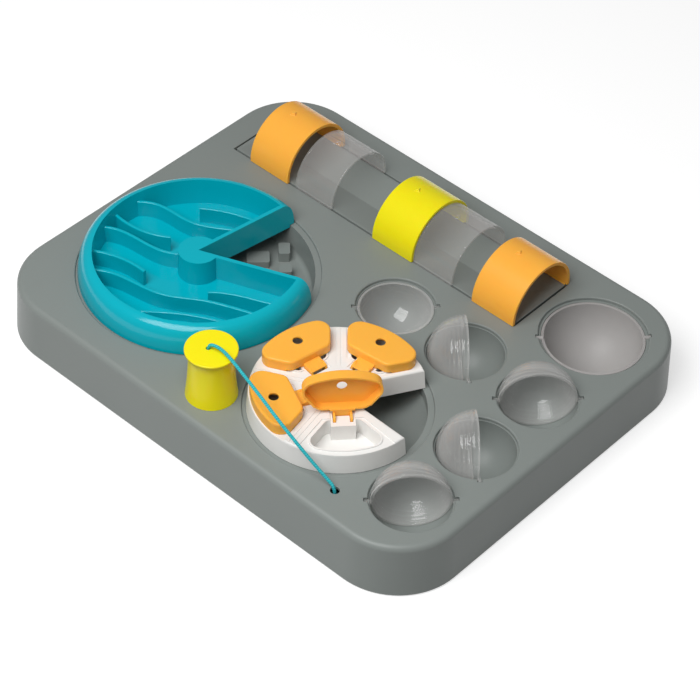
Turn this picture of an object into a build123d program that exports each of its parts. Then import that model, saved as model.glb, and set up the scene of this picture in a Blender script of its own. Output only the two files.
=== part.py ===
from build123d import *
from math import asin, cos, degrees, pi, radians, sin, sqrt, tan
import os

# Dog puzzle feeder: a low moulded tray that carries a revolving maze bowl, a revolving
# wheel with four hinged lids, five sliding arches, six tipping cups and a tethered cup.
# Millimetres. +X runs along the tray, +Y away from the dog, +Z up. The origin is on the
# floor under the middle of the tray.

os.makedirs("parts", exist_ok=True)


def finish(part, name):
    """Label one sub-part and write its STEP file."""
    part.label = name
    export_step(part, "parts/" + name + ".step")


def polar(centre, radius, angle, z=0.0):
    """Point at a radius and an angle in degrees about a vertical axis."""
    return Vector(centre[0] + radius * cos(radians(angle)), centre[1] + radius * sin(radians(angle)), z)


# ---------------------------------------------------------------- driving dimensions

# tray
TRAY_CORNER_R = 50.0
DECK_Z = 45.0
DECK_T = 2.5
DECK_EDGE_R = 4.5
SKIRT_T = 2.5
SKIRT_Z = 1.2
SKIRT_DRAFT = 3.2
RECESS_EDGE = 0.6

# base plate, its screws and feet
FOOT_H = 1.4
FOOT_R = 9.0
BASE_T = 2.2
BASE_GAP = 0.6
BOSS_R = 4.2
SCREW_R = 1.5
SCREW_HEAD_R = 3.0
SCREW_HEAD_T = 1.2
SCREW_LENGTH = 14.0

# maze bowl and its pan
BOWL_MARGIN = (13.1, 22.4)
BOWL_R = 87.2
BOWL_RIM_W = 10.9
BOWL_RIM_Z = 65.0
BOWL_RIM_EDGE_R = 1.0
BOWL_FLOOR_Z = 44.0
BOWL_T = 2.2
BOWL_HUB_R = 14.7
BOWL_HUB_Z = 64.3
BOWL_WEDGE = (22.0, 81.5)
BOWL_WEDGE_T = 3.0
MAZE_RIB_T = 2.5
MAZE_RIB_Z = 57.5
MAZE_RIB_EDGE_R = 0.8
MAZE_RIDGE_Z = 50.5
BOWL_CLEARANCE = 1.6
PAN_LEDGE_W = 4.6
PAN_LEDGE_Z = 43.4
PAN_LEDGE_FALL = 1.5
PAN_FLOOR_Z = 22.0
PAN_FLOOR_EDGE_R = 4.0
PAN_BLOCK_R = 1.5

# lid wheel and its well
WHEEL_MARGIN = 15.2
WHEEL_TO_BOWL = 9.5
WHEEL_FOOT_R = 63.2
WHEEL_SIDE_FALL = 1.2
WHEEL_TOP_Z = 60.5
WHEEL_FOOT_Z = 43.9
WHEEL_T = 2.2
WHEEL_EDGE_R = 1.8
WHEEL_HUB_R = 12.0
WHEEL_SPAN = (60.5, 358.8)
WHEEL_CLEARANCE = 3.1
WELL_LEDGE_W = 4.8
WELL_LEDGE_Z = 43.4
WELL_FLOOR_Z = 20.0
WELL_FLOOR_R = 34.0
WELL_FLANGE = 1.5
CELL_ANGLES = (96.0, 170.0, 244.0, 318.0)
CELL_HALF_ANGLE = 37.0
CELL_STRIP = 8.6
CELL_INNER_CORNER_R = 4.0
CELL_OUTER_CORNER_R = 6.5
CELL_RIM_W = 4.7
CELL_INNER_X = 29.5
CELL_FLOOR_Z = 47.5
CELL_BEAD_W = 1.2
CELL_BEAD_H = 0.9
LID_SEAT = 0.8
STRIP_GROOVE_W = 0.8
STRIP_GROOVE_DEPTH = 0.5

# lids and their hinge
LID_RIM_W = 0.8
LID_STRIP = 5.8
LID_INNER_X = 31.8
LID_TOP_Z = 69.0
LID_T = 1.4
LID_NOTCH_H = 1.3
LID_EDGE_R = 1.7
LID_INNER_CORNER_R = 7.0
LID_OUTER_CORNER_R = 9.0
LID_SEAT_GAP = 0.2
LID_HOLE_R = 3.6
LID_HOLE_OFF = 1.0
LID_OPEN = (0.0, 0.0, 0.0, 94.0)
HINGE_X = 26.2
HINGE_Z = 58.3
HINGE_CHEEK_R = 4.4
HINGE_CHEEK_Y = (5.0, 6.6)
HINGE_SLOT_REACH = 5.2
HINGE_SIDE_GAP = 0.3
HINGE_BLOCK_Y = 8.5
HINGE_BLOCK_X = 35.5
HINGE_PIN_R = 1.1
HINGE_PIN_FIT = 0.06

# spindles of the bowl and the wheel
SPIGOT_R = 6.0
SPIGOT_FIT = 0.06
SPINDLE_BOSS_R = 10.0
WASHER_R = 9.0
WASHER_T = 1.2
END_PLAY = 0.3

# tipping cups and their pockets
CUP_R = 27.3
CUP_T = 1.8
CUP_CLEARANCE = 1.7
CUP_WEB = 7.9
CUP_MARGIN = 10.8
CUP_TO_WELL = (3.116, 6.4)
BIG_CUP_R = 36.9
BIG_CUP_CLEARANCE = 2.5
BIG_CUP_MARGIN = (11.8, 17.7)
BIG_CUP_WEB = 7.3
CUP_AXIS_DROP = 2.4
CUP_PIN_R = 1.5
CUP_PIN_FIT = 0.06
CUP_PIN_REACH = 4.2
CUP_BEAD_W = 1.4
CUP_BEAD_H = 0.25
POCKET_GAP = 0.6
POCKET_T = 1.3
POCKET_FLANGE = 1.3
POCKET_PAD_W = 8.0

# sliding arches and their bed
SLOT_MARGIN = (24.0, 29.0)
SLOT_TO_CUP = 6.9
SLOT_OVERHANG = 1.75
SLOT_GAP = 1.6
ARCH_LENGTH = 38.5
CLEAR_ARCH_LENGTH = 36.5
ARCH_R = 32.0
CLEAR_ARCH_R = 30.5
ARCH_CENTRE_Z = 48.4
CLEAR_ARCH_CENTRE_Z = 47.9
ARCH_T = 2.6
CLEAR_ARCH_T = 2.1
ARCH_GAP = 0.3
TONGUE_T = 1.1
TONGUE_INSET = 2.0
HOOK_REACH = 1.6
HOOK_T = 1.3
TROUGH_DEPTH = 6.4
BED_T = 2.2

# tethered cup and cord
TETHER_MARGIN = 29.5
TETHER_CUP_Z = 87.0
TETHER_FLANGE_R = 18.6
TETHER_FLANGE_T = 2.2
TETHER_NECK_R = 16.0
TETHER_BASE_R = 18.5
TETHER_T = 2.0
CORD_R = 1.15
CORD_HOLE_R = 1.7
CORD_EYE_R = 3.3
KNOT_R = 3.6
CORD_HOLE_OFF = 1.5
CORD_EYE_OFF = (52.2, 21.7)


# ---------------------------------------------------------------- derived places

# The tray's outline follows from what stands in it, counted from its front left corner.
bowl_rim_r = BOWL_R - BOWL_RIM_W
pan_recess_r = BOWL_R + BOWL_CLEARANCE
pan_ledge_r = pan_recess_r - PAN_LEDGE_W
wheel_top_r = WHEEL_FOOT_R - WHEEL_SIDE_FALL
well_recess_r = WHEEL_FOOT_R + WHEEL_CLEARANCE
well_ledge_r = well_recess_r - WELL_LEDGE_W
cell_r = wheel_top_r - CELL_RIM_W
lid_r = wheel_top_r - LID_RIM_W
cup_hole_r = CUP_R + CUP_CLEARANCE
big_hole_r = BIG_CUP_R + BIG_CUP_CLEARANCE
cup_pitch = 2 * cup_hole_r + CUP_WEB
slot_half = ARCH_R - SLOT_OVERHANG

bowl_in = BOWL_MARGIN[0] + pan_recess_r, BOWL_MARGIN[1] + pan_recess_r
wheel_in = bowl_in[0] + pan_recess_r + WHEEL_TO_BOWL + well_recess_r, WHEEL_MARGIN + well_recess_r
cup_row_in = wheel_in[1] + well_recess_r + CUP_TO_WELL[1] + cup_hole_r
nearest_cup = min(abs(cup_row_in - step * cup_pitch - wheel_in[1]) for step in (0, 1, 2))
cup_column_in = wheel_in[0] + sqrt((well_recess_r + CUP_TO_WELL[0] + cup_hole_r) ** 2 - nearest_cup ** 2)
tray_length = cup_column_in + cup_hole_r + CUP_MARGIN
tray_width = cup_row_in + cup_hole_r + BIG_CUP_WEB + 2 * big_hole_r + BIG_CUP_MARGIN[1]
half_l, half_w = tray_length / 2, tray_width / 2

bowl_at = bowl_in[0] - half_l, bowl_in[1] - half_w
wheel_at = wheel_in[0] - half_l, wheel_in[1] - half_w
cup_corner = cup_column_in - half_l, cup_row_in - half_w
big_cup_at = half_l - BIG_CUP_MARGIN[0] - big_hole_r, half_w - BIG_CUP_MARGIN[1] - big_hole_r
slot_x = SLOT_MARGIN[0] - half_l, big_cup_at[0] - big_hole_r - SLOT_TO_CUP
slot_mid_y = half_w - SLOT_MARGIN[1] - slot_half
tether_cup_at = (bowl_at[0] + pan_recess_r + wheel_at[0] - well_recess_r) / 2 + 0.55, TETHER_MARGIN - half_w
cord_hole_at = tether_cup_at[0] - CORD_HOLE_OFF, tether_cup_at[1] - CORD_HOLE_OFF
cord_eye_at = wheel_at[0] + CORD_EYE_OFF[0], CORD_EYE_OFF[1] - half_w

boss_places = [(50 - half_l, half_w - 14.5), (wheel_at[0] - 46.5, half_w - 14.5), (half_l - 21, half_w - 20.5),
               (cup_corner[0] - 1.5 * cup_pitch, cup_corner[1] + cup_hole_r - 2.2),
               (half_l - 16, cup_corner[1] - cup_pitch / 2), (half_l - 60, 13 - half_w),
               (wheel_at[0] - 44.5, 11 - half_w), (bowl_at[0] + 23, 10 - half_w), (26 - half_l, 27 - half_w),
               (14 - half_l, bowl_at[1] + pan_recess_r + 8)]
foot_places = [(32 - half_l, half_w - 46), (wheel_at[0] - 76.5, half_w - 26), (half_l - 42, half_w - 28),
               (half_l - 24, cup_corner[1] - cup_pitch), (half_l - 42, 36 - half_w), (0, 18 - half_w),
               (42 - half_l, 40 - half_w), (18 - half_l, bowl_at[1] + 50.8)]

base_z = FOOT_H
base_top = base_z + BASE_T
deck_under = DECK_Z - DECK_T
skirt_spread = (DECK_Z - SKIRT_Z) * tan(radians(SKIRT_DRAFT))
cup_axis_z = DECK_Z - CUP_AXIS_DROP
lid_seat_z = WHEEL_TOP_Z - LID_SEAT
lid_foot_z = lid_seat_z + LID_SEAT_GAP

# Each cup: name, centre, shell radius, hole radius, direction of its pins and the tilt
# at which it stands, where 0 has the mouth up and positive turns it about its pins.
CUPS = [
    ("a", (cup_corner[0] - 2 * cup_pitch, cup_corner[1]), CUP_R, cup_hole_r, 45.0, 0.0),
    ("b", (cup_corner[0] - cup_pitch, cup_corner[1]), CUP_R, cup_hole_r, -45.0, -90.0),
    ("c", cup_corner, CUP_R, cup_hole_r, 45.0, 95.0),
    ("d", (cup_corner[0], cup_corner[1] - cup_pitch), CUP_R, cup_hole_r, -45.0, -90.0),
    ("e", (cup_corner[0], cup_corner[1] - 2 * cup_pitch), CUP_R, cup_hole_r, 45.0, 95.0),
    ("f", big_cup_at, BIG_CUP_R, big_hole_r, 45.0, 0.0),
]

# Each arch: name, share of the slot's free run that lies before it, and whether it is clear.
ARCHES = [
    ("arch_orange_left", 0.2167, False),
    ("arch_clear_left", 0.2944, True),
    ("arch_yellow", 0.7633, False),
    ("arch_clear_right", 0.7689, True),
    ("arch_orange_right", 0.9978, False),
]


def pin_direction(angle):
    """Unit vector along a cup's pins."""
    return Vector(cos(radians(angle)), sin(radians(angle)), 0)


def mouth_direction(angle, tilt):
    """Unit vector out of a cup's mouth at a tilt about its pins."""
    pins = pin_direction(angle)
    level = Vector(0, 0, 1).cross(pins)
    return Vector(0, 0, 1) * cos(radians(tilt)) - level * sin(radians(tilt))


# ---------------------------------------------------------------- tray

def tray_outline(inset, z):
    """Size and corner radius of the drafted skirt's outline at a height, moved inwards."""
    grow = (DECK_Z - z) * tan(radians(SKIRT_DRAFT)) - inset
    return tray_length + 2 * grow, tray_width + 2 * grow, TRAY_CORNER_R + grow


with BuildPart() as tray_shell:
    with BuildSketch(Plane.XY.offset(SKIRT_Z)):
        RectangleRounded(*tray_outline(0, SKIRT_Z))
    extrude(amount=DECK_Z - SKIRT_Z, taper=SKIRT_DRAFT)
    fillet(tray_shell.edges().group_by(Axis.Z)[-1], radius=DECK_EDGE_R)
    with BuildSketch(Plane.XY.offset(SKIRT_Z)):
        RectangleRounded(*tray_outline(SKIRT_T, SKIRT_Z))
    extrude(amount=deck_under - SKIRT_Z, taper=SKIRT_DRAFT, mode=Mode.SUBTRACT)
    # round recesses for the bowl, the wheel, the cups and the cord
    with BuildSketch(Plane.XY.offset(DECK_Z)):
        with Locations(bowl_at):
            Circle(pan_recess_r)
        with Locations(wheel_at):
            Circle(well_recess_r)
        with Locations(cord_eye_at):
            Circle(CORD_EYE_R)
        with Locations(((slot_x[0] + slot_x[1]) / 2, slot_mid_y)):
            Rectangle(slot_x[1] - slot_x[0], 2 * slot_half)
        for name, at, shell_r, hole_r, pins, tilt in CUPS:
            with Locations(at):
                Circle(hole_r)
                Rectangle(2 * (shell_r + CUP_PIN_REACH + 0.4), 2 * CUP_PIN_R + 0.3, rotation=pins)
    extrude(amount=-DECK_T, mode=Mode.SUBTRACT)
    recess_rims = tray_shell.edges().filter_by(GeomType.CIRCLE).group_by(Axis.Z)[-1]
    chamfer(recess_rims.filter_by(lambda e: e.radius > CUP_R), length=RECESS_EDGE)
    # screw bosses under the deck
    with BuildSketch(Plane.XY.offset(base_top)):
        with Locations(*boss_places):
            Circle(BOSS_R)
            Circle(SCREW_R + 0.05, mode=Mode.SUBTRACT)
    extrude(amount=SCREW_LENGTH)
    with BuildSketch(Plane.XY.offset(base_top + SCREW_LENGTH)):
        with Locations(*boss_places):
            Circle(BOSS_R)
    extrude(until=Until.NEXT)
finish(tray_shell.part, "tray_shell")

with BuildPart() as base_plate:
    with BuildSketch(Plane.XY.offset(base_z)):
        RectangleRounded(*tray_outline(SKIRT_T + BASE_GAP, base_z))
        with Locations(*boss_places):
            Circle(SCREW_R + 0.2, mode=Mode.SUBTRACT)
    extrude(amount=BASE_T)
    with BuildSketch(Plane.XY.offset(base_z)):
        with Locations(*boss_places):
            Circle(SCREW_HEAD_R + 0.3)
    extrude(amount=SCREW_HEAD_T, mode=Mode.SUBTRACT)
finish(base_plate.part, "base_plate")

with BuildPart() as base_screws:
    with BuildSketch(Plane.XY.offset(base_z)):
        with Locations(*boss_places):
            Circle(SCREW_HEAD_R)
    extrude(amount=SCREW_HEAD_T)
    with BuildSketch(Plane.XY.offset(base_z + SCREW_HEAD_T)):
        with Locations(*boss_places):
            Circle(SCREW_R)
    extrude(amount=SCREW_LENGTH - SCREW_HEAD_T)
finish(base_screws.part, "base_screws")

with BuildPart() as rubber_feet:
    with BuildSketch():
        with Locations(*foot_places):
            Circle(FOOT_R)
    extrude(amount=FOOT_H)
    chamfer(rubber_feet.edges().group_by(Axis.Z)[0], length=0.4)
finish(rubber_feet.part, "rubber_feet")


# ---------------------------------------------------------------- maze bowl

spindle_z = PAN_FLOOR_Z - BOWL_T

# One quarter of the pan's blocks: centre and size in a frame turned about the bowl's
# axis, and height. The other quarters repeat it.
PAN_BLOCK_TURN = 45.0
PAN_BLOCKS = [((43.5, 32.8), (17.0, 12.4), 6.0), ((62.9, 39.3), (8.6, 12.1), 8.5), ((63.2, 17.7), (9.6, 8.4), 8.0)]

with BuildPart() as bowl_pan:
    with BuildSketch(Plane.XZ.offset(-bowl_at[1])):
        with BuildLine():
            x0 = bowl_at[0]
            ledge_out = pan_recess_r - 0.1
            Polyline((x0 + SPIGOT_R + SPIGOT_FIT, spindle_z),
                     (x0 + pan_ledge_r - 3.0, spindle_z),
                     (x0 + pan_ledge_r + BOWL_T, spindle_z + 5.0),
                     (x0 + pan_ledge_r + BOWL_T, deck_under - BOWL_T),
                     (x0 + pan_recess_r + 4.0, deck_under - BOWL_T),
                     (x0 + pan_recess_r + 4.0, deck_under),
                     (x0 + ledge_out, deck_under),
                     (x0 + ledge_out, PAN_LEDGE_Z),
                     (x0 + pan_ledge_r, PAN_LEDGE_Z),
                     (x0 + pan_ledge_r - PAN_LEDGE_FALL, PAN_FLOOR_Z),
                     (x0 + SPINDLE_BOSS_R, PAN_FLOOR_Z),
                     (x0 + SPINDLE_BOSS_R, BOWL_FLOOR_Z - BOWL_T - END_PLAY),
                     (x0 + SPIGOT_R + SPIGOT_FIT, BOWL_FLOOR_Z - BOWL_T - END_PLAY),
                     close=True)
        make_face()
    revolve(axis=Axis((*bowl_at, 0), (0, 0, 1)))
    fillet(bowl_pan.edges().filter_by(GeomType.CIRCLE).filter_by(
        lambda e: abs(e.radius - pan_ledge_r + PAN_LEDGE_FALL) < 0.2), radius=PAN_FLOOR_EDGE_R)
    # raised blocks that make the dog work for what falls into the pan
    for turn in range(4):
        for at, block_size, height in PAN_BLOCKS:
            with BuildSketch(Plane(origin=(*bowl_at, PAN_FLOOR_Z), x_dir=polar((0, 0), 1, PAN_BLOCK_TURN + 90 * turn))):
                with Locations(at):
                    RectangleRounded(*block_size, PAN_BLOCK_R)
            extrude(amount=height)
finish(bowl_pan.part, "bowl_pan")


def bowl_plane(angle):
    """Upright plane through the bowl's axis, with its X outwards along the angle."""
    outwards = polar((0, 0), 1, angle)
    return Plane(origin=(*bowl_at, 0), x_dir=outwards, z_dir=outwards.cross(Vector(0, 0, 1)))


def bowl_envelope():
    """Filled section of the bowl: convex rim, hub level and underside."""
    step_r = pan_ledge_r - 0.8
    with BuildLine() as outline:
        rim = Bezier((BOWL_R, BOWL_FLOOR_Z), (BOWL_R, BOWL_RIM_Z - 8.0),
                     (BOWL_R - 4.1, BOWL_RIM_Z), (bowl_rim_r, BOWL_RIM_Z))
        Polyline(rim @ 1, (BOWL_HUB_R, BOWL_HUB_Z), (0, BOWL_HUB_Z), (0, BOWL_FLOOR_Z - BOWL_T),
                 (step_r, BOWL_FLOOR_Z - BOWL_T), (step_r, BOWL_FLOOR_Z), rim @ 0)
    make_face(outline.edges())


# Centre lines of the ribs that stand on the bowl's floor, from its axis, in hundredths of
# the bowl's radius.
MAZE_RIBS = [
    [(-86.1, 13.1), (-64.6, 24.2), (-37.0, 26.5), (-16.9, 35.8), (5.7, 52.8)],
    [(-43.2, 44.5), (-25.2, 56.1), (8.0, 66.7)],
    [(-86.5, -11.0), (-59.3, -10.0), (-42.2, -3.6), (-34.4, 1.6)],
    [(-82.5, -28.2), (-60.7, -20.2), (-39.1, -18.0), (-14.6, -8.0)],
    [(-67.5, -55.0), (-46.0, -45.6), (-19.2, -43.1)],
    [(-50.7, -71.0), (-30.0, -60.8), (-0.7, -55.4), (15.9, -49.0), (36.6, -35.3), (59.6, -24.2), (86.0, -14.0)],
    [(34.9, -24.4), (48.7, -13.2), (71.9, -2.1), (87.0, 5.5)],
]
MAZE_RIDGE = [(6.2, -72.2), (18.8, -61.4), (33.7, -49.9), (49.8, -40.7), (65.8, -32.7)]

wedge_span = BOWL_WEDGE[1] - BOWL_WEDGE[0]

with BuildPart() as maze_bowl:
    # floor and hollow rim, turned through all but the wedge
    with BuildSketch(bowl_plane(BOWL_WEDGE[1])) as rim_section:
        bowl_envelope()
        with BuildLine():
            floor_r = bowl_rim_r - 1.6
            Polyline((BOWL_HUB_R, BOWL_HUB_Z + 1), (BOWL_HUB_R + 0.5, BOWL_FLOOR_Z), (floor_r, BOWL_FLOOR_Z),
                     (bowl_rim_r, BOWL_HUB_Z + 1), close=True)
        make_face(mode=Mode.SUBTRACT)
        fillet(rim_section.vertices().sort_by_distance((bowl_rim_r, BOWL_RIM_Z))[0], radius=BOWL_RIM_EDGE_R)
        with BuildLine():
            under_r = floor_r + BOWL_T
            under_z = BOWL_FLOOR_Z - BOWL_T - 1
            roof_z = BOWL_RIM_Z - BOWL_T
            foot = Line((under_r + 1.0, under_z), (BOWL_R - BOWL_T, under_z))
            roof = Bezier(foot @ 1, (BOWL_R - BOWL_T, BOWL_RIM_Z - 9.8), (BOWL_R - BOWL_T - 3.0, roof_z),
                          (under_r + 1.4, roof_z))
            Line(roof @ 1, foot @ 0)
        make_face(mode=Mode.SUBTRACT)
    revolve(axis=Axis((*bowl_at, 0), (0, 0, 1)), revolution_arc=360 - wedge_span)
    # the two walls of the wedge, up to the hub's level
    with BuildPart(mode=Mode.PRIVATE) as wedge_walls:
        for angle, side in ((BOWL_WEDGE[1], -1), (BOWL_WEDGE[0], 1)):
            with BuildSketch(bowl_plane(angle)):
                bowl_envelope()
            extrude(amount=side * BOWL_WEDGE_T)
    with BuildPart(mode=Mode.PRIVATE) as whole_bowl:
        with BuildSketch(bowl_plane(0)):
            bowl_envelope()
        revolve(axis=Axis((*bowl_at, 0), (0, 0, 1)))
    add(wedge_walls.part & whole_bowl.part)
    # ribs of the maze, and one low ridge
    for centre_line, top_z in [(rib, MAZE_RIB_Z) for rib in MAZE_RIBS] + [(MAZE_RIDGE, MAZE_RIDGE_Z)]:
        with BuildSketch(Plane.XY.offset(BOWL_FLOOR_Z - 0.5)):
            with BuildLine():
                Spline(*[(bowl_at[0] + x * BOWL_R / 100, bowl_at[1] + y * BOWL_R / 100) for x, y in centre_line])
            trace(line_width=MAZE_RIB_T)
        extrude(amount=top_z - BOWL_FLOOR_Z + 0.5)
    for top_z in (MAZE_RIB_Z, MAZE_RIDGE_Z):
        rib_tops = maze_bowl.faces().filter_by(Plane.XY).filter_by(lambda f: abs(f.center().Z - top_z) < 0.01)
        fillet([e for f in rib_tops for e in f.edges() if e.length > 3.5], radius=MAZE_RIB_EDGE_R)
    # spigot that turns in the pan, with a pilot hole for its screw
    with BuildSketch(Plane.XY.offset(spindle_z - END_PLAY)):
        with Locations(bowl_at):
            Circle(SPIGOT_R)
    extrude(amount=BOWL_FLOOR_Z - BOWL_T - spindle_z + END_PLAY)
    with BuildSketch(Plane.XY.offset(spindle_z - END_PLAY)):
        with Locations(bowl_at):
            Circle(SCREW_R + 0.02)
    extrude(amount=SCREW_LENGTH, mode=Mode.SUBTRACT)
finish(maze_bowl.part, "maze_bowl")


def spindle_washer(at, z):
    """Washer that keeps a turning piece in its pan."""
    with BuildPart() as washer:
        with BuildSketch(Plane.XY.offset(z - WASHER_T)):
            with Locations(at):
                Circle(WASHER_R)
                Circle(SCREW_R + 0.1, mode=Mode.SUBTRACT)
        extrude(amount=WASHER_T)
    return washer.part


def spindle_screw(at, z):
    """Screw up into a spigot, with its head under the washer."""
    with BuildPart() as screw:
        with BuildSketch(Plane.XY.offset(z - WASHER_T - SCREW_HEAD_T)):
            with Locations(at):
                Circle(SCREW_HEAD_R)
        extrude(amount=SCREW_HEAD_T)
        with BuildSketch(Plane.XY.offset(z - WASHER_T)):
            with Locations(at):
                Circle(SCREW_R)
        extrude(amount=SCREW_LENGTH)
    return screw.part


finish(spindle_washer(bowl_at, spindle_z - END_PLAY), "bowl_washer")
finish(spindle_screw(bowl_at, spindle_z - END_PLAY), "bowl_screw")


# ---------------------------------------------------------------- lid wheel

well_z = WELL_FLOOR_Z - WHEEL_T
well_bearing_z = WHEEL_FOOT_Z - END_PLAY

with BuildPart() as wheel_well:
    with BuildSketch(Plane.XZ.offset(-wheel_at[1])):
        with BuildLine():
            x0 = wheel_at[0]
            lip = Polyline((x0 + WELL_FLOOR_R, WELL_FLOOR_Z), (x0 + SPINDLE_BOSS_R, WELL_FLOOR_Z),
                           (x0 + SPINDLE_BOSS_R, well_bearing_z), (x0 + SPIGOT_R + SPIGOT_FIT, well_bearing_z),
                           (x0 + SPIGOT_R + SPIGOT_FIT, well_z), (x0 + WELL_FLOOR_R, well_z))
            under = ThreePointArc(lip @ 1, (x0 + 55.0, well_z + 6.5), (x0 + well_ledge_r + WHEEL_T, deck_under - 9.0))
            rim = Polyline(under @ 1, (x0 + well_ledge_r + WHEEL_T, deck_under - WHEEL_T),
                           (x0 + well_recess_r + WELL_FLANGE, deck_under - WHEEL_T), (x0 + well_recess_r + WELL_FLANGE, deck_under),
                           (x0 + well_recess_r - 0.1, deck_under), (x0 + well_recess_r - 0.1, WELL_LEDGE_Z),
                           (x0 + well_ledge_r, WELL_LEDGE_Z), (x0 + well_ledge_r, deck_under - 7.0))
            ThreePointArc(rim @ 1, (x0 + 53.5, WELL_FLOOR_Z + 6.5), lip @ 0)
        make_face()
    revolve(axis=Axis((*wheel_at, 0), (0, 0, 1)))
finish(wheel_well.part, "wheel_well")


def wheel_sector(radius, inset):
    """Plan of the wheel: a disc less its wedge, with a hub, moved inwards by an inset."""
    start, end = WHEEL_SPAN
    trim = degrees(asin(inset / radius))
    with BuildLine() as outline:
        apex = polar(wheel_at, inset / sin(radians((end - start) / 2)), (start + end) / 2)
        arc = CenterArc(wheel_at, radius, start + trim, end - start - 2 * trim)
        Line(arc @ 1, (apex.X, apex.Y))
        Line((apex.X, apex.Y), arc @ 0)
    make_face(outline.edges())
    with Locations(wheel_at):
        Circle(WHEEL_HUB_R - inset)


def cell_frame(angle, z=0.0):
    """Plane over one cell: origin on the wheel's axis, X outwards through the cell."""
    return Plane(origin=(*wheel_at, z), x_dir=polar((0, 0), 1, angle), z_dir=(0, 0, 1))


def cell_corner(strip, inner_x):
    """Corner where a cell's straight inner edge meets the side that runs along its strip."""
    half = radians(CELL_HALF_ANGLE)
    return inner_x, (inner_x * sin(half) - strip) / cos(half)


def cell_side_end(strip, radius):
    """Point where the side of a cell meets its outer arc."""
    angle = radians(CELL_HALF_ANGLE) - asin(strip / radius)
    return radius * cos(angle), radius * sin(angle)


def cell_outline(strip, radius, inner_x):
    """Four-sided plan of a cell or a lid: inner edge, two sides and an outer arc."""
    ix, iy = cell_corner(strip, inner_x)
    ox, oy = cell_side_end(strip, radius)
    with BuildLine() as outline:
        Line((ix, -iy), (ox, -oy))
        ThreePointArc((ox, -oy), (radius, 0), (ox, oy))
        Line((ox, oy), (ix, iy))
        Line((ix, iy), (ix, -iy))
    make_face(outline.edges())


def round_cell(plan, inner_r, outer_r):
    """Round the two inner and the two outer corners of a cell's or a lid's plan."""
    fillet(plan.vertices().sort_by(Axis.X)[:2], radius=inner_r)
    fillet(plan.vertices().sort_by(Axis.X)[-2:], radius=outer_r)


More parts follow.
